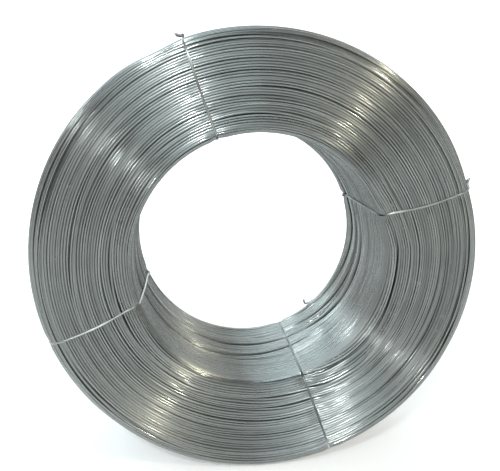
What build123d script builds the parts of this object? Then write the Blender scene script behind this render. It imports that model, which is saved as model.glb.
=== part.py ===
from build123d import *
import os

# Coil of one wire, standing on its rim: its axis is along Y and its front end faces -Y
coil_outer_diameter = 360.0
coil_width = 140.0
bore_diameter = 200.0
rim_edge_radius = 18.0
bore_edge_radius = 8.0
rim_edge_flat_angle = 30.0
bore_edge_flat_angle = 45.0

# Furrows between bands of turns, as points on each wall: place along the wall, and depth
furrow_depth = 1.5
back_wall_shares = ((0.14, 1), (0.27, 0), (0.40, 1), (0.51, 0), (0.67, 0), (0.81, 1))
bore_wall_shares = ((0.31, 0), (0.34, 1), (0.37, 0), (0.63, 0), (0.66, 1), (0.69, 0))
front_wall_shares = (
    (0.09, 1), (0.17, 0), (0.26, 1), (0.34, 0), (0.42, 1),
    (0.50, 0), (0.66, 0), (0.74, 1), (0.82, 0), (0.91, 1),
)
outer_wall_shares = ((0.22, 1), (0.36, 0), (0.51, 1), (0.66, 0), (0.79, 1))

# Tie wires, pulled into the turns round the whole section
tie_diameter = 1.6
tie_sides = 8
tie_clearance = 0.2
tie_bearings = (18.0, 109.0, 201.0, 289.6)

# Twisted ends of a tie, laid over on the outer wall
knot_width_shares = (0.20, 0.34, 0.50, 0.50)
knot_spread = 4.5
twist_pitch = 5.0
twist_length = 9.0
twist_clearance = 0.1
twist_flats = 12

cut_overrun = 3.0

half_width = coil_width / 2
bore_radius = bore_diameter / 2
outer_radius = coil_outer_diameter / 2
end_start = bore_radius + bore_edge_radius
end_width = outer_radius - rim_edge_radius - end_start
rim_edge_flats = round(90 / rim_edge_flat_angle)
bore_edge_flats = round(90 / bore_edge_flat_angle)
coil_axis = Axis((0, 0, outer_radius), (0, 1, 0))

# A tie lies its clearance below the surface, in a channel that clears it all round
tie_inset = tie_clearance + tie_diameter / 2
channel_depth = tie_diameter + 2 * tie_clearance
channel_width = tie_diameter + 2 * tie_clearance

# The two ends of a tie turn round each other just clear of the outer wall
twist_radius = (tie_diameter + twist_clearance) / 2
knot_radius = outer_radius + tie_clearance + tie_diameter / 2 + twist_radius


def axial_plane(bearing):
    """Plane through the coil's axis, with radius as its x and the way to the back end as its y."""
    return Plane(
        origin=(0, 0, outer_radius),
        x_dir=Vector(1, 0, 0).rotate(Axis.Y, -bearing),
        z_dir=Vector(0, 0, 1).rotate(Axis.Y, -bearing),
    )


def section_edges(inset):
    """Points of the four edges of the coil's section, set in from its surface, each rounded in flats."""
    rim = end_start + end_width
    edges = (
        (rim, half_width - rim_edge_radius, rim_edge_radius, rim_edge_flats, 0),
        (end_start, half_width - bore_edge_radius, bore_edge_radius, bore_edge_flats, 90),
        (end_start, bore_edge_radius - half_width, bore_edge_radius, bore_edge_flats, 180),
        (rim, rim_edge_radius - half_width, rim_edge_radius, rim_edge_flats, 270),
    )
    return [
        [
            Vector(radius, place) + Vector(rounding - inset, 0).rotate(Axis.Z, start + 90 * step / flats)
            for step in range(flats + 1)
        ]
        for radius, place, rounding, flats, start in edges
    ]


def section_outline(inset):
    """Points of the coil's section, set in from its surface, with straight walls."""
    return [point for edge in section_edges(inset) for point in edge]


def banded_section():
    """Points of the coil's section, with the furrows between its bands of turns on every wall."""
    edges = section_edges(0)
    walls = (
        (back_wall_shares, Vector(0, -furrow_depth)),
        (bore_wall_shares, Vector(furrow_depth, 0)),
        (front_wall_shares, Vector(0, furrow_depth)),
        (outer_wall_shares, Vector(-furrow_depth, 0)),
    )
    points = []
    for edge, next_edge, (wall_shares, inward) in zip(edges, edges[1:] + edges[:1], walls):
        wall = next_edge[0] - edge[-1]
        points += edge
        points += [edge[-1] + wall * place + inward * depth for place, depth in wall_shares]
    return points


os.makedirs("parts", exist_ok=True)

with BuildPart() as wire_coil:
    with BuildSketch(axial_plane(0)):
        Polygon(*banded_section(), align=None)
    revolve(axis=coil_axis)

    # Channels that the ties press into the turns
    for bearing in tie_bearings:
        with BuildSketch(axial_plane(bearing)):
            Polygon(*section_outline(-cut_overrun), align=None)
            Polygon(*section_outline(channel_depth), align=None, mode=Mode.SUBTRACT)
        extrude(amount=channel_width / 2, both=True, mode=Mode.SUBTRACT)

wire_coil.part.label = "wire_coil"
export_step(wire_coil.part, "parts/wire_coil.step")

for number, bearing in enumerate(tie_bearings, start=1):
    plane = axial_plane(bearing)
    knot_place = coil_width * knot_width_shares[number - 1] - half_width

    # Way round the section, from the knot over the back end, along the bore and over the front end
    loop = [
        Vector(outer_radius - tie_inset, knot_place + knot_spread),
        *section_outline(tie_inset),
        Vector(outer_radius - tie_inset, knot_place - knot_spread),
    ]

    # The two ends wind along the outer wall, half a turn apart
    knot_plane = Plane(
        origin=plane.from_local_coords((knot_radius, knot_place)),
        x_dir=plane.y_dir,
        z_dir=plane.z_dir,
    )
    twist = Helix(twist_pitch, twist_length, twist_radius)
    twist_steps = [twist @ (step / twist_flats) for step in range(twist_flats + 1)]
    first_end = [knot_plane.from_local_coords(point) for point in reversed(twist_steps)]
    second_end = [knot_plane.from_local_coords(point.rotate(Axis.Z, 180)) for point in twist_steps]

    with BuildPart() as tie_wire:
        with BuildLine() as way:
            Polyline(first_end, [plane.from_local_coords(point) for point in loop], second_end)
        with BuildSketch(Plane(origin=way.line @ 0, z_dir=way.line % 0)) as wire_section:
            RegularPolygon(tie_diameter / 2, tie_sides)
        sweep(wire_section.sketch, path=way.line, transition=Transition.RIGHT)

    tie_wire.part.label = f"tie_wire_{number}"
    export_step(tie_wire.part, f"parts/tie_wire_{number}.step")
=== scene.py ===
import math
from collections import namedtuple

import bpy
import numpy as np
from mathutils import Matrix, Vector


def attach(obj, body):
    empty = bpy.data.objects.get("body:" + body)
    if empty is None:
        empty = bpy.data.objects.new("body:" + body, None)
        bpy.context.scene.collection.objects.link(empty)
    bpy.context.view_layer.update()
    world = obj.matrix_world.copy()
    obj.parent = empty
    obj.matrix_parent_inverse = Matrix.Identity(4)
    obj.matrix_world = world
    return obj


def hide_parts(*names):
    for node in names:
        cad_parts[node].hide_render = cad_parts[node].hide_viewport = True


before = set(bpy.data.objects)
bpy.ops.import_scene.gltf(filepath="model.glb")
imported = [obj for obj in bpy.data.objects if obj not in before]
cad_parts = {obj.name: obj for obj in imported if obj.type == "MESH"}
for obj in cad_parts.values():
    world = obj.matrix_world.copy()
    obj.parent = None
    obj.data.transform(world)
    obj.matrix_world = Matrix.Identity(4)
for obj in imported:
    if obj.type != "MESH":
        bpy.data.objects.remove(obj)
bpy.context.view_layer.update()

MM = 0.001
FULL_TURN = 2 * math.pi
rng = np.random.default_rng(20)

# Coil, in millimetres, as in the CAD model; its axis is along Y and its front end faces -Y
OUTER_R = 180.0
BORE_R = 100.0
HALF_WIDTH = 70.0
RIM_EDGE_R = 18.0
BORE_EDGE_R = 8.0

# The coil's wire, in millimetres
WIRE_R = 1.05
WIRE_D = 2 * WIRE_R

# Ties, in millimetres, as in the CAD model but a little thicker
TIE_R = 0.92
TIE_INSET = 1.0
KNOT_SPREAD = 4.5
TWIST_PITCH = 5.0
TWIST_LENGTH = 9.0
TWIST_R = 0.85
KNOT_R = OUTER_R + TIE_INSET + TWIST_R

# Twists of the ties: start back across the tie, lift off the wall, further rise, and share of length lost
TWIST_BACK = 3.5
TWIST_LIFT = 1.0
TWIST_RISE = 3.0
TWIST_LOSS = 0.3

# Each tie's bearing, knot place, bend at the mouths, sag on the front end, lean to one side at the front
# mouth, in mid-bore and further back, tone on the ends, painted light and shade on its stretch in the bore,
# radius of its painted glints on the ends, and how far it bulges in the bore
Tie = namedtuple("Tie", "bearing knot bend sag leans tone bore_tone bright_r bulge")
TIES = (
    Tie(18.0, -42.0, 11.0, -1.6, (3.4, 3.6, 3.2), 0.25, -0.80, 113.0, 2.4),
    Tie(109.0, -22.4, 9.0, 0.4, (0.0, 0.0, 0.0), 0.15, 0.10, 166.0, 0.0),
    Tie(201.0, 0.0, 11.0, 1.5, (-3.4, 0.6, 3.2), 0.45, 0.40, 136.0, 2.4),
    Tie(289.6, 0.0, 10.0, 0.3, (0.0, 0.0, 0.0), -0.10, -0.45, 170.0, 0.0),
)

# Leans and bulges of the ties: places along the axis, reaches, share of the long bulge, and the radius that
# bulges stay within
LEAN_PLACES = (-HALF_WIDTH, 0.0, 45.0, HALF_WIDTH)
BULGE_PLACE = 50.0
BULGE_REACH = 4.5
LONG_BULGE = 0.4
LONG_BULGE_REACH = 45.0
BULGE_WITHIN = BORE_R + 4.0

# Wander of the ties to either side, and its waves along them
TIE_WANDER = 0.5
TIE_WAVES = (1, 2, 3, 5, 8)

# How far a tie presses the turns in, and the reach of this to each side and along the section at the mouths
PRESS_DEPTH = 1.3
PRESS_REACH = 3.0
PRESS_MOUTH_REACH = 6.5

# Tone along a tie: radii where the bore's painted light and shade gives way, reach of a painted glint, and
# noise
TIE_TONE_RADII = (BORE_R + 2.0, BORE_R + 8.0)
GLINT_REACH = 7.0
TIE_TONE_NOISE = 0.25

# Stretches of the section, in order along it
BORE, FRONT_MOUTH, FRONT, FRONT_RIM, OUTER, BACK_RIM, BACK, BACK_MOUTH = range(8)

# Furrows between bands of turns on each wall, as in the CAD model: place along the wall, and depth
BAND_DEPTH = 1.5
WALL_BANDS = {
    BORE: ((0.31, 0), (0.34, 1), (0.37, 0), (0.63, 0), (0.66, 1), (0.69, 0)),
    FRONT: (
        (0.09, 1), (0.17, 0), (0.26, 1), (0.34, 0), (0.42, 1),
        (0.50, 0), (0.66, 0), (0.74, 1), (0.82, 0), (0.91, 1),
    ),
    OUTER: ((0.22, 1), (0.36, 0), (0.51, 1), (0.66, 0), (0.79, 1)),
    BACK: ((0.14, 1), (0.27, 0), (0.40, 1), (0.51, 0), (0.67, 0), (0.81, 1)),
}

# Dark furrows that wander along the bore, from the back: bearing, place along the axis, and depth
BORE_FURROWS = (
    (
        (2, 42, 6), (30, 45, 5), (60, 50, 2), (150, 54, 2), (250, 56, 0), (300, 59, 4), (334, 52, 6),
        (354, 43.5, 6),
    ),
    (
        (25, 28, 5), (42, 26, 5), (90, 33, 2), (180, 33, 0), (270, 34, 0), (296, 36, 3), (331, 29, 6),
        (355, 25, 6),
    ),
    (
        (6, 10.7, 4), (60, 15, 2.5), (120, 19, 2.5), (180, 17, 4.5), (215, 19, 5), (248, 18, 4.5),
        (290, 20, 4), (302, 16.5, 4), (325, 9, 3), (351, 8.6, 4),
    ),
    (
        (0, -6, 0), (90, -12, 2.5), (202, -15, 5), (230, -12, 5), (261, -9, 4.5), (290, -3, 4),
        (309, 1.5, 3.5), (330, 0, 0),
    ),
)

# Seam where the bore's turns meet those of the front end: bearing, place past the mouth, and depth
MOUTH_SEAM = (
    (4, 0.8, 2.4), (15, -2.0, 1.6), (30, -5.4, 1.8), (50, -5.4, 0.8), (70, -5.4, 0), (200, -5.4, 0),
    (240, -5.6, 1.5), (260, -8.0, 2.8), (289, -7.4, 2.8), (299, -3.1, 2.8), (310, -0.4, 2.8),
    (325, 1.0, 2.8), (346, 0.6, 2.6),
)

# Painted light and shade by side of the coil: bearing, and shift of the turns' tone on the ends and in the
# bore
SIDE_LIGHT_AND_SHADE = (
    (0, -0.3, -0.15), (18, 0.1, -0.35), (31, 0.7, -0.4), (47, -0.6, -0.3), (75, 0.4, -0.3),
    (100, -0.2, -0.3), (120, 0.3, -0.3), (137, -0.2, -0.4), (152, -0.1, -0.5), (195, 0.0, -0.9),
    (214, 0.3, -0.65), (232, 0.6, 0.2), (262, 0.1, -0.3), (288, 0.2, 0.75), (302, -0.1, 0.2),
    (335, -0.1, 0.35),
)

# Deep turns at the front rim: place past its edge's start, bearing, reach in degrees, and depth
RIM_RINGS = (
    (2.6, 350.0, 24.0, 3.0), (6.6, 352.0, 22.0, 2.8), (8.4, 328.0, 22.0, 3.0), (3.4, 308.0, 16.0, 2.4),
    (12.4, 203.0, 20.0, 2.6), (9.0, 218.0, 24.0, 2.8), (5.0, 226.0, 26.0, 2.6), (7.0, 158.0, 26.0, 2.6),
    (3.0, 62.0, 34.0, 2.4), (11.0, 78.0, 30.0, 2.2),
)

# Reach along the section of the mouth's seam, of a furrow, with its widening by depth, and of a deep turn
SEAM_REACH = 1.0
FURROW_REACH = 0.6
FURROW_WIDENING = 0.25
RING_REACH = 1.0

# Dents in the rim beside two ties: bearing, depth, and reach in radians
RIM_DENTS = ((116.0, 2.0, 0.10), (21.0, 1.2, 0.16))

# Slow waves of the surface, each as waves round the coil, lag along the section, and phase: the bands'
# wander, with its sizes, their fading, and the swell under them; and the least depth that these leave
BAND_WAVES = ((1.2, (3, 0.07, 0.0)), (0.8, (5, -0.05, 2.0)))
FADE = 0.25
FADE_WAVE = (2, 0.12, 0.0)
SWELL = 0.12
SWELL_WAVES = ((2, 0.05, 1.3), (3, -0.031, 0.0))
LEAST_DEPTH = 0.02

# How turns lie: wander of a layer's edges, turns drawn for each that fits and to spare, chance that a band
# ends, shares of a turn's sinking that are fixed, its own and its band's, and least sinking
EDGE_WANDER = 0.6
TURNS_DRAWN = 1.8
TURNS_SPARE = 4
BAND_END_CHANCE = 0.36
SINK_FIXED = 0.2
SINK_OWN = 0.4
SINK_OF_BAND = 0.6
LEAST_SINK = 0.05

# Gaps between turns: least and spread of the narrow ones, then for the open ones the least and most share
# of the slack and the number to a turn, and their reach in degrees
NARROW_GAP = 0.02
NARROW_SPREAD = 0.03
OPEN_GAPS = ((0.45, 1.3, 0.45), (0.08, 0.35, 0.55))
OPEN_REACH = (9, 38)

# Turns that go under: share of the touching distance that counts as crowded, how far a crowded turn sinks,
# and how far turns sink at the rims
CROWDED_BELOW = 0.85
CROWDED_SINK = 0.7
RIM_SINK = 0.9
RIM_SINK_REACH = 13.0

# Tone of the turns: least, spread between turns, share of the band's, noise along a turn, painted shade
# for each millimetre of dark depth, and painted light near the bore's front mouth
TONE_LEAST = 0.30
TONE_SPREAD = 0.35
TONE_OF_BAND = 0.2
TONE_ALONG = 0.12
SHADE_PER_DEPTH = 0.4
PAINTED_MOUTH_LIGHT = 0.5
PAINTED_MOUTH_LIGHT_REACH = 9.0


def smooth_noise(count, angles, waves, fall=1.0):
    """Rows of smooth noise round the coil, about -1 to 1."""
    rows = np.zeros((count, len(angles)))
    power = 0.0
    for wave in waves:
        size = 1.0 / wave**fall
        phase = rng.uniform(0, FULL_TURN, (count, 1))
        rows += rng.normal(0, size, (count, 1)) * np.cos(wave * angles + phase)
        power += size * size / 2
    return rows / math.sqrt(power) / 2


def bump(distance, width):
    """A smooth hump, 1 at its middle."""
    return np.exp(-((distance / width) ** 2))


def turn_gap(angles, bearing):
    """Angle from a bearing, the short way, in radians."""
    return (angles - math.radians(bearing) + math.pi) % FULL_TURN - math.pi


def round_the_coil(points, angles, column):
    """A value at each angle, from points that give a bearing first."""
    bearings = [point[0] for point in points]
    values = [point[column] for point in points]
    return np.interp(np.degrees(angles), bearings, values, period=360)


class Section:
    """The coil's section as a closed line one wire radius inside its surface, by length along it."""

    def __init__(self):
        mouth, mouth_y = BORE_R + BORE_EDGE_R, HALF_WIDTH - BORE_EDGE_R
        rim, rim_y = OUTER_R - RIM_EDGE_R, HALF_WIDTH - RIM_EDGE_R
        mouth_r, rim_r = BORE_EDGE_R - WIRE_R, RIM_EDGE_R - WIRE_R
        face_y = HALF_WIDTH - WIRE_R
        # start of a straight wall or centre of a rounded edge, length, edge radius, and normal's angle
        self.bits = (
            ((BORE_R + WIRE_R, mouth_y), 2 * mouth_y, 0, 180),
            ((mouth, -mouth_y), mouth_r * math.pi / 2, mouth_r, 180),
            ((mouth, -face_y), rim - mouth, 0, 270),
            ((rim, -rim_y), rim_r * math.pi / 2, rim_r, 270),
            ((OUTER_R - WIRE_R, -rim_y), 2 * rim_y, 0, 0),
            ((rim, rim_y), rim_r * math.pi / 2, rim_r, 0),
            ((rim, face_y), rim - mouth, 0, 90),
            ((mouth, mouth_y), mouth_r * math.pi / 2, mouth_r, 90),
        )
        self.starts = np.concatenate([[0], np.cumsum([bit[1] for bit in self.bits])])
        self.length = self.starts[-1]

    def middle(self, bit):
        return (self.starts[bit] + self.starts[bit + 1]) / 2

    def __call__(self, s):
        """Radius, place along the axis, and the two parts of the normal, at each length."""
        s = np.mod(s, self.length)
        radius, place, out_r, out_y = (np.zeros_like(s) for _ in range(4))
        for start, (point, length, edge_r, angle) in zip(self.starts, self.bits):
            here = (s >= start) & (s <= start + length)
            along = s[here] - start
            facing = np.full_like(along, math.radians(angle))
            if edge_r:
                facing += along / edge_r
                radius[here] = point[0] + edge_r * np.cos(facing)
                place[here] = point[1] + edge_r * np.sin(facing)
            else:
                radius[here] = point[0] - along * np.sin(facing)
                place[here] = point[1] + along * np.cos(facing)
            out_r[here] = np.cos(facing)
            out_y[here] = np.sin(facing)
        return radius, place, out_r, out_y


section = Section()


def quad_mesh(name, points, quads):
    """A smooth mesh of four-sided faces, from points in millimetres."""
    mesh = bpy.data.meshes.new(name)
    mesh.vertices.add(len(points))
    mesh.vertices.foreach_set("co", (points * MM).reshape(-1).astype(np.float32))
    mesh.loops.add(quads.size)
    mesh.loops.foreach_set("vertex_index", quads.reshape(-1).astype(np.int32))
    mesh.polygons.add(len(quads))
    mesh.polygons.foreach_set("loop_start", np.arange(0, quads.size, 4, dtype=np.int32))
    mesh.polygons.foreach_set("use_smooth", np.ones(len(quads), dtype=bool))
    mesh.update()
    mesh.validate()
    return mesh


def grid_quads(rows, columns, close_rows, close_columns):
    """Faces of a grid of points, which may close on itself either way."""
    row = np.arange(rows if close_rows else rows - 1)[:, None]
    column = np.arange(columns if close_columns else columns - 1)[None, :]
    next_row, next_column = (row + 1) % rows, (column + 1) % columns
    corners = ((row, column), (row, next_column), (next_row, next_column), (next_row, column))
    return np.stack([r * columns + c for r, c in corners], -1).reshape(-1, 4)


def point_values(mesh, name, values):
    layer = mesh.attributes.new(name, "FLOAT", "POINT")
    layer.data.foreach_set("value", np.asarray(values, dtype=np.float32))


def add_piece(mesh, material, node):
    """Put a mesh in the scene as a piece that stands for a CAD node."""
    piece = bpy.data.objects.new(mesh.name, mesh)
    bpy.context.scene.collection.objects.link(piece)
    mesh.materials.append(material)
    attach(piece, "root")
    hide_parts(node)


def ring_mesh(name, radius, place, out_r, out_y, angles, tone, sides):
    """Joined tubes round the coil, one for each row of places in the section."""
    count, steps = radius.shape
    points = np.empty((count, steps, sides, 3))
    for side in range(sides):
        facing = FULL_TURN * (side + 0.5) / sides
        ring_r = radius + WIRE_R * (math.cos(facing) * out_r - math.sin(facing) * out_y)
        points[:, :, side, 0] = ring_r * np.cos(angles)
        points[:, :, side, 1] = place + WIRE_R * (math.cos(facing) * out_y + math.sin(facing) * out_r)
        points[:, :, side, 2] = OUTER_R + ring_r * np.sin(angles)
    one_ring = grid_quads(steps, sides, True, True)
    first_points = np.arange(count)[:, None, None] * steps * sides
    quads = (one_ring[None] + first_points).reshape(-1, 4)
    mesh = quad_mesh(name, points.reshape(-1, 3), quads)
    point_values(mesh, "tone", np.repeat(tone.reshape(-1), sides))
    point_values(mesh, "shine", np.repeat(rng.uniform(0, 1, count), steps * sides))
    return mesh


def band_depth(s):
    """How far the furrows of the CAD model sink the turns, by length along the section."""
    s = np.mod(s, section.length)
    depth = np.zeros_like(s)
    for wall, points in WALL_BANDS.items():
        share = (s - section.starts[wall]) / (section.starts[wall + 1] - section.starts[wall])
        places, depths = zip((0, 0), *points, (1, 0))
        depth += BAND_DEPTH * np.interp(share, places, depths, left=0, right=0)
    return depth


def wave_angle(s, angles, waves, lag, phase):
    """Angle of a slow wave round the coil, which lags along the section."""
    return waves * angles + lag * s + phase


def surface_depth(s, angles):
    """How far the bundle lies inside its outline: bands that come and go, slow waves, dents by two ties."""
    wander = sum(size * np.sin(wave_angle(s, angles, *wave)) for size, wave in BAND_WAVES)
    fade = 1 - FADE + FADE * np.sin(wave_angle(s, angles, *FADE_WAVE))
    swell, cross_swell = (np.cos(wave_angle(s, angles, *wave)) for wave in SWELL_WAVES)
    depth = band_depth(s + wander) * fade
    depth += SWELL + SWELL * swell * cross_swell
    over_rim = np.clip((s - section.starts[FRONT_RIM]) / section.bits[FRONT_RIM][1], 0, 1)
    dents = sum(size * bump(turn_gap(angles, bearing), reach) for bearing, size, reach in RIM_DENTS)
    depth += over_rim * dents
    return np.maximum(depth, LEAST_DEPTH)


def mouth_seam(angles):
    """Length along the section of the seam between the bore's turns and those of the front end."""
    return section.starts[FRONT] + round_the_coil(MOUTH_SEAM, angles, 1)


def middle_line(stretch):
    """The middle of a stretch of the section, as an edge of a layer: its length at each angle."""
    return lambda angles: np.full_like(angles, section.middle(stretch))


def furrow_lines(furrows, angles):
    """Each furrow's length along the section, at each angle."""
    mouth_y = HALF_WIDTH - BORE_EDGE_R
    return [mouth_y - round_the_coil(furrow, angles, 1) for furrow in furrows]


def follow_furrows(s, angles, first, last, furrows):
    """Shift turns sideways, so that they run along the furrows."""
    lines = furrow_lines(furrows, angles)
    homes = [first + (last - first) * np.mean((line - first) / (last - first)) for line in lines]
    for step in range(len(angles)):
        places = [first[step], *(home[step] for home in homes), last[step]]
        shifts = [0, *(line[step] - home[step] for line, home in zip(lines, homes)), 0]
        s[:, step] += np.interp(s[:, step], places, shifts)
    return s


def dark_depth(s, angles, furrows):
    """How far furrows, the mouth's seam and the rim's deep turns sink a turn; this depth also sets painted
    shade.
    """
    depth = round_the_coil(MOUTH_SEAM, angles, 2) * bump(s - mouth_seam(angles), SEAM_REACH)
    for line, furrow in zip(furrow_lines(furrows, angles), furrows):
        size = round_the_coil(furrow, angles, 2)
        depth = depth + size * bump(s - line, FURROW_REACH + FURROW_WIDENING * size)
    for place, bearing, reach, size in RIM_RINGS:
        ring = bump(s - section.starts[FRONT_RIM] - place, RING_REACH)
        depth = depth + size * ring * bump(turn_gap(angles, bearing), math.radians(reach))
    return depth


def tie_aside(tie, radius, place):
    """How far a tie lies to one side of its bearing, at a place in the section."""
    mouth = BORE_R + tie.bend
    out = np.clip((radius - mouth) / (OUTER_R - RIM_EDGE_R - mouth), 0, 1)
    lean = np.interp(place, LEAN_PLACES, (*tie.leans, 0))
    return lean * (1 - out) + np.where(place < 0, tie.sag, 0) * np.sin(out * math.pi)


def tie_press(tie, s, angles, radius, place, deep):
    """How far a tie presses the turns in, most where it bends at the mouths."""
    aside = turn_gap(angles, tie.bearing) * radius - tie_aside(tie, radius, place)
    s = np.mod(s, section.length)
    bends = sum(bump(s - section.middle(mouth), PRESS_MOUTH_REACH) for mouth in (FRONT_MOUTH, BACK_MOUTH))
    cut_in = (tie.bend - BORE_EDGE_R) * (math.sqrt(2) - 1)
    return (PRESS_DEPTH + cut_in * bends + deep) * bump(aside, PRESS_REACH)


def open_gaps(angles, events):
    """Gaps beside one turn, as shares of the slack: a few wide ones and some narrow ones."""
    gaps = np.zeros_like(angles)
    for low, high, rate in OPEN_GAPS:
        for _ in range(rng.poisson(rate * events)):
            reach = math.radians(rng.uniform(*OPEN_REACH))
            away = np.minimum(np.abs(turn_gap(angles, rng.uniform(0, 360))) / reach, 1)
            gaps += rng.uniform(low, high) * np.cos(away * math.pi / 2) ** 2
    return gaps


def turn_tones(s, angles, shared, dark, in_bore):
    """Turns' tone: own and band's, with painted light and shade by side, in furrows and at the bore's
    mouth.
    """
    tone = TONE_LEAST + TONE_SPREAD * rng.uniform(0, 1, (len(s), 1)) + TONE_OF_BAND * shared
    tone = tone + TONE_ALONG * smooth_noise(len(s), angles, (1, 2, 5, 9), 0.5)
    # painted light and shade by side, and painted shade where furrows, the seam and deep turns sink the
    # turns
    tone = tone + round_the_coil(SIDE_LIGHT_AND_SHADE, angles, 2 if in_bore else 1) - SHADE_PER_DEPTH * dark
    if in_bore:
        # painted light on the bore's turns near the front mouth
        tone = tone + PAINTED_MOUTH_LIGHT * bump(s - mouth_seam(angles), PAINTED_MOUTH_LIGHT_REACH)
    return tone


def turns(name, first_edge, last_edge, furrows, slack, events, sunk, pitch, drift, steps, sides=8, deep=0):
    """One layer of turns over a stretch of the section, in bands that drift apart and together."""
    angles = np.arange(steps) * FULL_TURN / steps
    first = first_edge(angles) + EDGE_WANDER * smooth_noise(1, angles, (1, 2, 3))[0]
    last = last_edge(angles) + EDGE_WANDER * smooth_noise(1, angles, (1, 2, 3))[0]
    first = np.where(first > last, first - section.length, first)
    width = np.mean(last - first)
    most = int(TURNS_DRAWN * width / WIRE_D) + TURNS_SPARE

    # turns lie in bands, which share their height and their drift
    band = np.cumsum(rng.uniform(0, 1, most) < BAND_END_CHANCE)
    shared = smooth_noise(band[-1] + 1, angles, (1, 2, 3, 4), 0.5)[band]
    swing = smooth_noise(band[-1] + 1, angles, (2, 3, 4, 5, 7), 0.35)[band]
    own = smooth_noise(most, angles, (1, 2, 3, 4, 5), 0.6)
    level = sunk * np.clip(SINK_FIXED + SINK_OWN * own + SINK_OF_BAND * shared, 0, 1)
    gaps = NARROW_GAP + NARROW_SPREAD * np.abs(smooth_noise(most, angles, (2, 3, 5)))
    gaps += slack * np.array([open_gaps(angles, events) for _ in range(most)])

    # each turn touches the one before, as far as their heights let it
    touching = np.full((most, steps), WIRE_R)
    touching[1:] = pitch * np.sqrt(np.maximum(WIRE_D**2 - np.diff(level, axis=0) ** 2, WIRE_R**2))
    reach = np.cumsum(touching + gaps, axis=0)
    count = int(np.argmin(np.abs(reach.mean(1) + WIRE_R - width))) + 1
    s = first + reach[:count] * (last - first) / (reach[count - 1] + WIRE_R)
    s = s + drift * swing[:count]
    if furrows:
        s = follow_furrows(s, angles, first, last, furrows)

    # a turn that is crowded by its neighbour goes under, and so do some at the rims
    crowded = np.zeros_like(s)
    crowded[1:] = np.clip(CROWDED_BELOW * touching[1:count] - np.diff(s, axis=0), 0, WIRE_D)
    level = level[:count] + CROWDED_SINK * crowded
    at_rims = sum(bump(s - section.middle(rim), RIM_SINK_REACH) for rim in (FRONT_RIM, BACK_RIM))
    level += RIM_SINK * at_rims * np.clip(smooth_noise(count, angles, (1, 2, 3, 4), 0.4), 0, 1)

    grid = np.broadcast_to(angles, s.shape)
    radius, place, out_r, out_y = section(s)
    dark = dark_depth(s, grid, furrows)
    depth = LEAST_SINK + deep + surface_depth(s, grid) + level + dark
    for tie in TIES:
        depth = np.maximum(depth, tie_press(tie, s, grid, radius, place, deep))
    radius = radius - out_r * depth
    place = place - out_y * depth
    tone = turn_tones(s, angles, shared[:count], dark, in_bore=bool(furrows))
    return ring_mesh(name, radius, place, out_r, out_y, angles, tone, sides)


def add_node(tree, kind, **inputs):
    """A node of one kind, with some of its inputs set."""
    node = tree.nodes.new("ShaderNode" + kind)
    for name, value in inputs.items():
        node.inputs[name.replace("_", " ")].default_value = value
    return node


def multiply_add(tree, value, factor, added):
    node = add_node(tree, "Math")
    node.operation = "MULTIPLY_ADD"
    tree.links.new(value, node.inputs[0])
    node.inputs[1].default_value = factor
    tree.links.new(added, node.inputs[2])
    return node.outputs[0]


# Colour of the painted shade, and shares of the turn's tone in its colour and of the blooms in its
# roughness
SHADE_COLOUR = (0.035, 0.037, 0.036)
TONE_SHARE = 0.5
BLOOM_SHARE = 0.5


def zinc(name, dark, light, rough_low, rough_high, drawn=0.0):
    """Zinc-coated wire: a tone for each turn, painted shade as its darkest tone, dull blooms, gloss across
    its draw marks.
    """
    material = bpy.data.materials.new(name)
    material.use_nodes = True
    tree = material.node_tree
    links = tree.links
    shader = next(node for node in tree.nodes if node.type == "BSDF_PRINCIPLED")
    shader.inputs["Metallic"].default_value = 1.0
    if drawn:
        shader.inputs["Anisotropic"].default_value = drawn
        shader.inputs["Anisotropic Rotation"].default_value = 0.25
        lay = add_node(tree, "Tangent")
        lay.direction_type = "RADIAL"
        lay.axis = "Y"
        links.new(lay.outputs["Tangent"], shader.inputs["Tangent"])

    place = add_node(tree, "TexCoord")
    bloom = add_node(tree, "TexNoise", Scale=90.0, Detail=4.0)
    grain = add_node(tree, "TexNoise", Scale=1400.0, Detail=2.0)
    links.new(place.outputs["Object"], bloom.inputs["Vector"])
    links.new(place.outputs["Object"], grain.inputs["Vector"])

    tone = add_node(tree, "Attribute")
    tone.attribute_name = "tone"
    colour = add_node(tree, "ValToRGB")
    ramp = colour.color_ramp
    # the darkest stop is painted shade, for turns in furrows and dark stretches of ties
    ramp.elements[0].position = 0.05
    ramp.elements[0].color = (*SHADE_COLOUR, 1)
    ramp.elements[1].position = 1.0
    ramp.elements[1].color = (*light, 1)
    ramp.elements.new(0.35).color = (*dark, 1)
    cloud = add_node(tree, "MapRange", To_Min=0.38, To_Max=0.62)
    links.new(bloom.outputs["Fac"], cloud.inputs["Value"])
    shade = multiply_add(tree, tone.outputs["Fac"], TONE_SHARE, cloud.outputs["Result"])
    links.new(shade, colour.inputs["Fac"])
    links.new(colour.outputs["Color"], shader.inputs["Base Color"])

    shine = add_node(tree, "Attribute")
    shine.attribute_name = "shine"
    rough = add_node(tree, "MapRange", From_Min=0.2, From_Max=1.3, To_Min=rough_low, To_Max=rough_high)
    dullness = multiply_add(tree, bloom.outputs["Fac"], BLOOM_SHARE, shine.outputs["Fac"])
    links.new(dullness, rough.inputs["Value"])
    links.new(rough.outputs["Result"], shader.inputs["Roughness"])

    relief = add_node(tree, "Bump", Strength=0.02, Distance=0.00002)
    links.new(grain.outputs["Fac"], relief.inputs["Height"])
    links.new(relief.outputs["Normal"], shader.inputs["Normal"])
    return material


wire_material = zinc(
    "galvanised_wire", dark=(0.185, 0.194, 0.189), light=(0.33, 0.346, 0.338),
    rough_low=0.14, rough_high=0.42, drawn=0.9,
)
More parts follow.
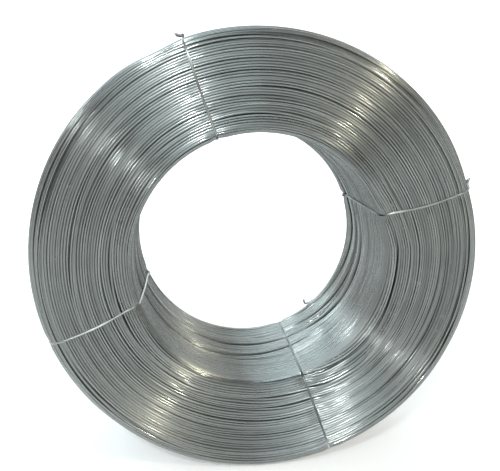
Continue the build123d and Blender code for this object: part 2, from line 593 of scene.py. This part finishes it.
# Darker copy of the wire for the turns underneath: painted shade
shaded_inner_material = zinc(
    "galvanised_wire_inner_shaded", dark=(0.16, 0.168, 0.164), light=(0.27, 0.283, 0.276),
    rough_low=0.30, rough_high=0.44, drawn=0.9,
)
tie_material = zinc(
    "tie_wire", dark=(0.12, 0.125, 0.12), light=(0.56, 0.585, 0.56), rough_low=0.32, rough_high=0.42,
)

# Layers of turns, and the one under them: size and number of open gaps, sinking, share of the touching
# distance, drift, points round the coil, sides of a turn, and depth
BORE_LAYER = dict(slack=0.4, events=0.5, sunk=0.3, pitch=0.82, drift=0.5, steps=150)
FRONT_LAYER = dict(slack=0.55, events=0.9, sunk=0.5, pitch=0.93, drift=0.6, steps=180)
OUTER_LAYER = dict(slack=0.9, events=1.4, sunk=0.9, pitch=0.93, drift=0.9, steps=160)
BACK_LAYER = dict(slack=0.9, events=1.4, sunk=0.9, pitch=0.93, drift=1.0, steps=160)
UNDER_LAYER = dict(slack=0.6, events=1.0, sunk=0.5, pitch=0.95, drift=0.4, steps=108, sides=5, deep=1.8)

# The layers' stretches of the section: name, the two edges, furrows, and layer
STRETCHES = (
    ("bore", (middle_line(BACK_MOUTH), mouth_seam, BORE_FURROWS), BORE_LAYER),
    ("front", (mouth_seam, middle_line(FRONT_RIM), ()), FRONT_LAYER),
    ("outer", (middle_line(FRONT_RIM), middle_line(BACK_RIM), ()), OUTER_LAYER),
    ("back", (middle_line(BACK_RIM), middle_line(BACK_MOUTH), ()), BACK_LAYER),
)
for name, stretch, looks in STRETCHES:
    top = turns(f"turns_{name}", *stretch, **looks)
    add_piece(top, wire_material, "wire_coil")
    under = turns(f"turns_{name}_under", *stretch, **UNDER_LAYER)
    add_piece(under, shaded_inner_material, "wire_coil")

# Plain bundle behind the layers: points round the coil and its section, inset, ripple, dark tone as
# painted shade, and shine
BUNDLE_STEPS = 144
BUNDLE_POINTS = 220
BUNDLE_INSET = 6.2
BUNDLE_RIPPLE = 0.4
BUNDLE_SHADE_TONE = 0.2
EVEN_SHINE = 0.5


def bundle(name, steps, count):
    """The turns further in, as one rippled surface."""
    angles = np.arange(steps)[:, None] * FULL_TURN / steps
    radius, place, out_r, out_y = section(np.linspace(0, section.length, count, endpoint=False))
    inset = BUNDLE_INSET - BUNDLE_RIPPLE * np.cos(np.arange(count) * math.pi)
    radius = radius - out_r * inset
    place = np.broadcast_to(place - out_y * inset, (steps, count))
    points = np.stack([np.cos(angles) * radius, place, OUTER_R + np.sin(angles) * radius], -1)
    mesh = quad_mesh(name, points.reshape(-1, 3), grid_quads(steps, count, True, True))
    point_values(mesh, "tone", np.full(steps * count, BUNDLE_SHADE_TONE))
    point_values(mesh, "shine", np.full(steps * count, EVEN_SHINE))
    return mesh


inside = bundle("turns_inside", BUNDLE_STEPS, BUNDLE_POINTS)
add_piece(inside, shaded_inner_material, "wire_coil")

# Tubes: sides, a way that none of them runs, shares of the radius at the tips and just behind them, steps
# along a tie's loop, a whole tie and the wire's end, rounds that ease corners, and points of a twist
TUBE_SIDES = 8
ASLANT = (0.3, 0.5, 0.8)
TIP_SHARE = 0.05
SHOULDER_SHARE = 0.8
LOOP_STEP = 1.0
TIE_STEP = 0.7
END_STEP = 0.6
EASE_ROUNDS = 3
TWIST_POINTS = 40


def tube(name, points, radius, tone):
    """A round wire along a line of points, with rounded and closed ends."""
    along = np.gradient(points, axis=0)
    along /= np.linalg.norm(along, axis=1)[:, None]
    side = np.cross(along[0], ASLANT)
    rings = []
    for way in along:
        side = side - way * side.dot(way)
        side /= np.linalg.norm(side)
        rings.append([side, np.cross(way, side)])
    rings = np.array(rings)
    facing = np.arange(TUBE_SIDES) * FULL_TURN / TUBE_SIDES
    spokes = np.cos(facing)[:, None] * rings[:, None, 0] + np.sin(facing)[:, None] * rings[:, None, 1]

    # the first and last two rings draw in, and a cap closes each end
    radii = np.full(len(points), radius)
    radii[[0, -1]] = TIP_SHARE * radius
    radii[[1, -2]] = SHOULDER_SHARE * radius
    tube_points = points[:, None] + radii[:, None, None] * spokes
    cap = np.array([(i, i + 1, TUBE_SIDES - 2 - i, TUBE_SIDES - 1 - i) for i in range(TUBE_SIDES // 2 - 1)])
    last_ring = (len(points) - 1) * TUBE_SIDES
    wall = grid_quads(len(points), TUBE_SIDES, False, True)
    quads = np.concatenate([cap[:, ::-1], wall, cap + last_ring])
    mesh = quad_mesh(name, tube_points.reshape(-1, 3), quads)
    point_values(mesh, "tone", np.repeat(tone, TUBE_SIDES))
    point_values(mesh, "shine", np.full(len(points) * TUBE_SIDES, EVEN_SHINE))
    return mesh


def even_line(points, step):
    """Points at even steps along a line, with its corners eased."""
    points = np.asarray(points, dtype=float)
    length = np.concatenate([[0], np.cumsum(np.linalg.norm(np.diff(points, axis=0), axis=1))])
    at = np.linspace(0, length[-1], int(length[-1] / step) + 1)
    line = np.stack([np.interp(at, length, points[:, axis]) for axis in range(3)], -1)
    for _ in range(EASE_ROUNDS):
        line[1:-1] = 0.25 * line[:-2] + 0.5 * line[1:-1] + 0.25 * line[2:]
    return line


def tie_loop(tie):
    """Way of a tie round the section, from its knot and back to it, as radii and places along the axis."""
    rim, rim_y, rim_r = OUTER_R - RIM_EDGE_R, HALF_WIDTH - RIM_EDGE_R, RIM_EDGE_R - TIE_INSET
    mouth, mouth_y, mouth_r = BORE_R + tie.bend, HALF_WIDTH - tie.bend, tie.bend - TIE_INSET
    bends = (
        (rim, rim_y, rim_r, 0),
        (mouth, mouth_y, mouth_r, 90),
        (mouth, -mouth_y, mouth_r, 180),
        (rim, -rim_y, rim_r, 270),
    )
    loop = [(OUTER_R - TIE_INSET, tie.knot + KNOT_SPREAD)]
    for bend_at, bend_y, bend_r, start in bends:
        facing = np.radians(start + np.arange(0, 91, 10))
        loop += zip(bend_at + bend_r * np.cos(facing), bend_y + bend_r * np.sin(facing))
    loop.append((OUTER_R - TIE_INSET, tie.knot - KNOT_SPREAD))
    return loop


def tie_line(tie):
    """Way of one tie: along its twist, round the section, and back along its twist."""
    angle = math.radians(tie.bearing)
    centre = np.array((0.0, 0.0, OUTER_R))
    out = np.array((math.cos(angle), 0.0, math.sin(angle)))
    axial = np.array((0.0, 1.0, 0.0))
    round_way = np.array((-math.sin(angle), 0.0, math.cos(angle)))
    line = even_line([centre + out * radius + axial * place for radius, place in tie_loop(tie)], LOOP_STEP)

    # it leans and wanders to one side, and bulges a little along the bore, most at its back
    radius, place = (line - centre) @ out, line[:, 1]
    share = np.linspace(0, 1, len(line))
    wander = sum(rng.normal(0, TIE_WANDER / wave) * np.sin(math.pi * wave * share) for wave in TIE_WAVES)
    bulge = bump(place - BULGE_PLACE, BULGE_REACH) + LONG_BULGE * bump(place, LONG_BULGE_REACH)
    bulge = np.where(radius < BULGE_WITHIN, tie.bulge * bulge, 0)
    line = line + round_way * (tie_aside(tie, radius, place) + wander)[:, None] - out * bulge[:, None]

    # its two ends wind along the outer wall, half a turn apart
    steps = np.linspace(0, 1, TWIST_POINTS)[:, None]
    twist = FULL_TURN * TWIST_LENGTH / TWIST_PITCH * steps
    start = centre + out * KNOT_R + axial * tie.knot - round_way * TWIST_BACK
    along = round_way * TWIST_LENGTH * (steps - TWIST_LOSS * steps**2)
    lift = out * (TWIST_LIFT + TWIST_RISE * steps**2)
    ends = [
        start + along + lift
        + TWIST_R * (np.cos(twist + half) * axial + np.sin(twist + half) * np.cross(round_way, axial))
        for half in (0.0, math.pi)
    ]
    return even_line(np.concatenate([ends[0][::-1], line, ends[1]]), TIE_STEP)


def tie_tones(tie, line):
    """Tone along a tie: painted light and shade in the bore, its tone outside it, painted glints, and
    noise.
    """
    reach = np.hypot(line[:, 0], line[:, 2] - OUTER_R)
    # painted light and shade in the bore, then painted glints on the ends
    tone = np.interp(reach, TIE_TONE_RADII, (tie.bore_tone, tie.tone))
    tone = tone + bump(reach - tie.bright_r, GLINT_REACH)
    noise = smooth_noise(1, np.linspace(0, FULL_TURN, len(line)), range(4, 20), 0.2)[0]
    return tone + TIE_TONE_NOISE * noise


for number, tie in enumerate(TIES, start=1):
    line = tie_line(tie)
    tie_mesh = tube(f"tie_{number}", line, TIE_R, tie_tones(tie, line))
    add_piece(tie_mesh, tie_material, f"tie_wire_{number}")

# Free end of the wire, hooked up at the back of the bore: place along the axis, bearings and radii
WIRE_END_PLACE = 66.0
WIRE_END = ((318, 103.5), (314, 102.0), (310.3, 101.0), (308.0, 98.9), (308.2, 97.0), (309.3, 94.3))
WIRE_END_R = 0.7 * WIRE_R
# Dark tone of the wire's end: painted shade
WIRE_END_SHADE_TONE = 0.1
end_points = [
    (radius * math.cos(angle), WIRE_END_PLACE, OUTER_R + radius * math.sin(angle))
    for angle, radius in ((math.radians(bearing), radius) for bearing, radius in WIRE_END)
]
end_line = even_line(end_points, END_STEP)
end_mesh = tube("wire_end", end_line, WIRE_END_R, np.full(len(end_line), WIRE_END_SHADE_TONE))
add_piece(end_mesh, wire_material, "wire_coil")

# Camera at the photo's place, in millimetres, turned to the right and down from straight along the axis
FOCAL_PIXELS = 693.2
IMAGE_WIDTH = 500
CAMERA_PLACE = (-65.77, -589.1, OUTER_R + 133.1)
CAMERA_RIGHT = math.radians(6.222)
CAMERA_DOWN = math.radians(12.001)
camera_data = bpy.data.cameras.new("camera")
camera = bpy.data.objects.new("camera", camera_data)
bpy.context.scene.collection.objects.link(camera)
bpy.context.scene.camera = camera
camera_data.sensor_fit = "HORIZONTAL"
camera_data.sensor_width = 36.0
camera_data.lens = FOCAL_PIXELS / IMAGE_WIDTH * camera_data.sensor_width
camera_data.clip_start = 0.01
camera_turn = Matrix.Rotation(-CAMERA_RIGHT, 3, "Z") @ Matrix.Rotation(math.pi / 2 - CAMERA_DOWN, 3, "X")
camera.matrix_world = Matrix.Translation(Vector(CAMERA_PLACE) * MM) @ camera_turn.to_4x4()


def cove_mesh():
    """Floor that curves up into a backdrop, in metres."""
    front, middle, bend_at, bend_r, top, half_span = -5.0, -1.0, 1.2, 0.9, 5.0, 7.0
    quarter = np.radians(np.arange(0, 91, 6))
    profile = [(front, 0.0), (middle, 0.0)]
    profile += zip(bend_at + bend_r * np.sin(quarter), bend_r - bend_r * np.cos(quarter))
    profile.append((bend_at + bend_r, top))
    points = np.array([(x, y, z) for y, z in profile for x in (-half_span, half_span)]) / MM
    return quad_mesh("floor", points, grid_quads(len(profile), 2, False, False))


def pale_material():
    """Matt floor that keeps shadows, with a glow towards the back that the camera and gloss see."""
    material = bpy.data.materials.new("floor")
    material.use_nodes = True
    tree = material.node_tree
    links = tree.links
    tree.nodes.clear()
    output = add_node(tree, "OutputMaterial")
    matt = add_node(tree, "BsdfDiffuse", Color=(0.80, 0.80, 0.80, 1))
    path = add_node(tree, "LightPath")
    seen = path.outputs["Is Camera Ray"]
    for kind in ("Is Glossy Ray", "Is Transmission Ray"):
        either = add_node(tree, "Math")
        either.operation = "MAXIMUM"
        links.new(seen, either.inputs[0])
        links.new(path.outputs[kind], either.inputs[1])
        seen = either.outputs[0]
    place = add_node(tree, "TexCoord")
    apart = add_node(tree, "SeparateXYZ")
    links.new(place.outputs["Object"], apart.inputs[0])
    behind = add_node(tree, "MapRange", From_Min=-0.6, From_Max=1.6)
    links.new(apart.outputs["Y"], behind.inputs["Value"])
    level = add_node(tree, "ValToRGB")
    level.color_ramp.elements[0].color = (0, 0, 0, 1)
    level.color_ramp.elements[1].position = 0.95
    level.color_ramp.elements[1].color = (0.62, 0.62, 0.62, 1)
    level.color_ramp.elements.new(0.22).color = (0.28, 0.28, 0.28, 1)
    links.new(behind.outputs["Result"], level.inputs["Fac"])
    strength = add_node(tree, "Math")
    strength.operation = "MULTIPLY"
    links.new(seen, strength.inputs[0])
    links.new(level.outputs["Color"], strength.inputs[1])
    glow = add_node(tree, "Emission")
    links.new(strength.outputs[0], glow.inputs["Strength"])
    both = add_node(tree, "AddShader")
    links.new(matt.outputs[0], both.inputs[0])
    links.new(glow.outputs[0], both.inputs[1])
    links.new(both.outputs[0], output.inputs["Surface"])
    return material


floor_mesh = cove_mesh()
floor_mesh.materials.append(pale_material())
floor = bpy.data.objects.new("floor", floor_mesh)
bpy.context.scene.collection.objects.link(floor)

# Lamps: name, direction to the right, up and towards the camera, distance, width, power and colour
LAMPS = (
    ("lamp_cool", (-0.231, 0.583, 0.779), 3.0, 0.24, 33.0, (0.97, 0.99, 1.0)),
    ("lamp_cool_soft", (-0.2153, 0.588, 0.7797), 3.1, 2.2, 30.0, (0.74, 0.94, 1.0)),
    ("lamp_warm", (0.603, 0.515, 0.609), 5.0, 0.27, 48.0, (1.0, 0.92, 0.70)),
    ("lamp_warm_soft", (0.603, 0.515, 0.609), 3.1, 1.6, 8.0, (1.0, 0.93, 0.74)),
    ("lamp_small", (-0.515, 0.238, 0.823), 5.0, 0.08, 33.0, (0.97, 1.0, 1.0)),
    ("lamp_back", (-0.23, 0.50, -0.835), 1.8, 1.7, 13.0, (0.66, 0.92, 1.0)),
    ("lamp_back_small", (-0.536, 0.367, -0.76), 2.4, 0.5, 5.0, (0.80, 0.96, 1.0)),
)


def add_lamp(name, direction, distance, width, power, colour):
    """A round soft box that faces the coil."""
    data = bpy.data.lights.new(name, "AREA")
    data.shape = "DISK"
    data.size = width
    data.energy = power
    data.color = colour
    piece = bpy.data.objects.new(name, data)
    bpy.context.scene.collection.objects.link(piece)
    way = Vector((direction[0], -direction[2], direction[1])).normalized()
    piece.location = Vector((0, -HALF_WIDTH, OUTER_R)) * MM + way * distance
    piece.rotation_euler = way.to_track_quat("Z", "Y").to_euler()


for lamp in LAMPS:
    add_lamp(*lamp)

# Even light from all round
world = bpy.data.worlds.new("world")
bpy.context.scene.world = world
world.use_nodes = True
world.node_tree.nodes.clear()
sky = add_node(world.node_tree, "Background", Color=(1, 1, 1, 1), Strength=0.45)
world_output = add_node(world.node_tree, "OutputWorld")
world.node_tree.links.new(sky.outputs[0], world_output.inputs["Surface"])

bpy.context.scene.view_settings.view_transform = "Standard"
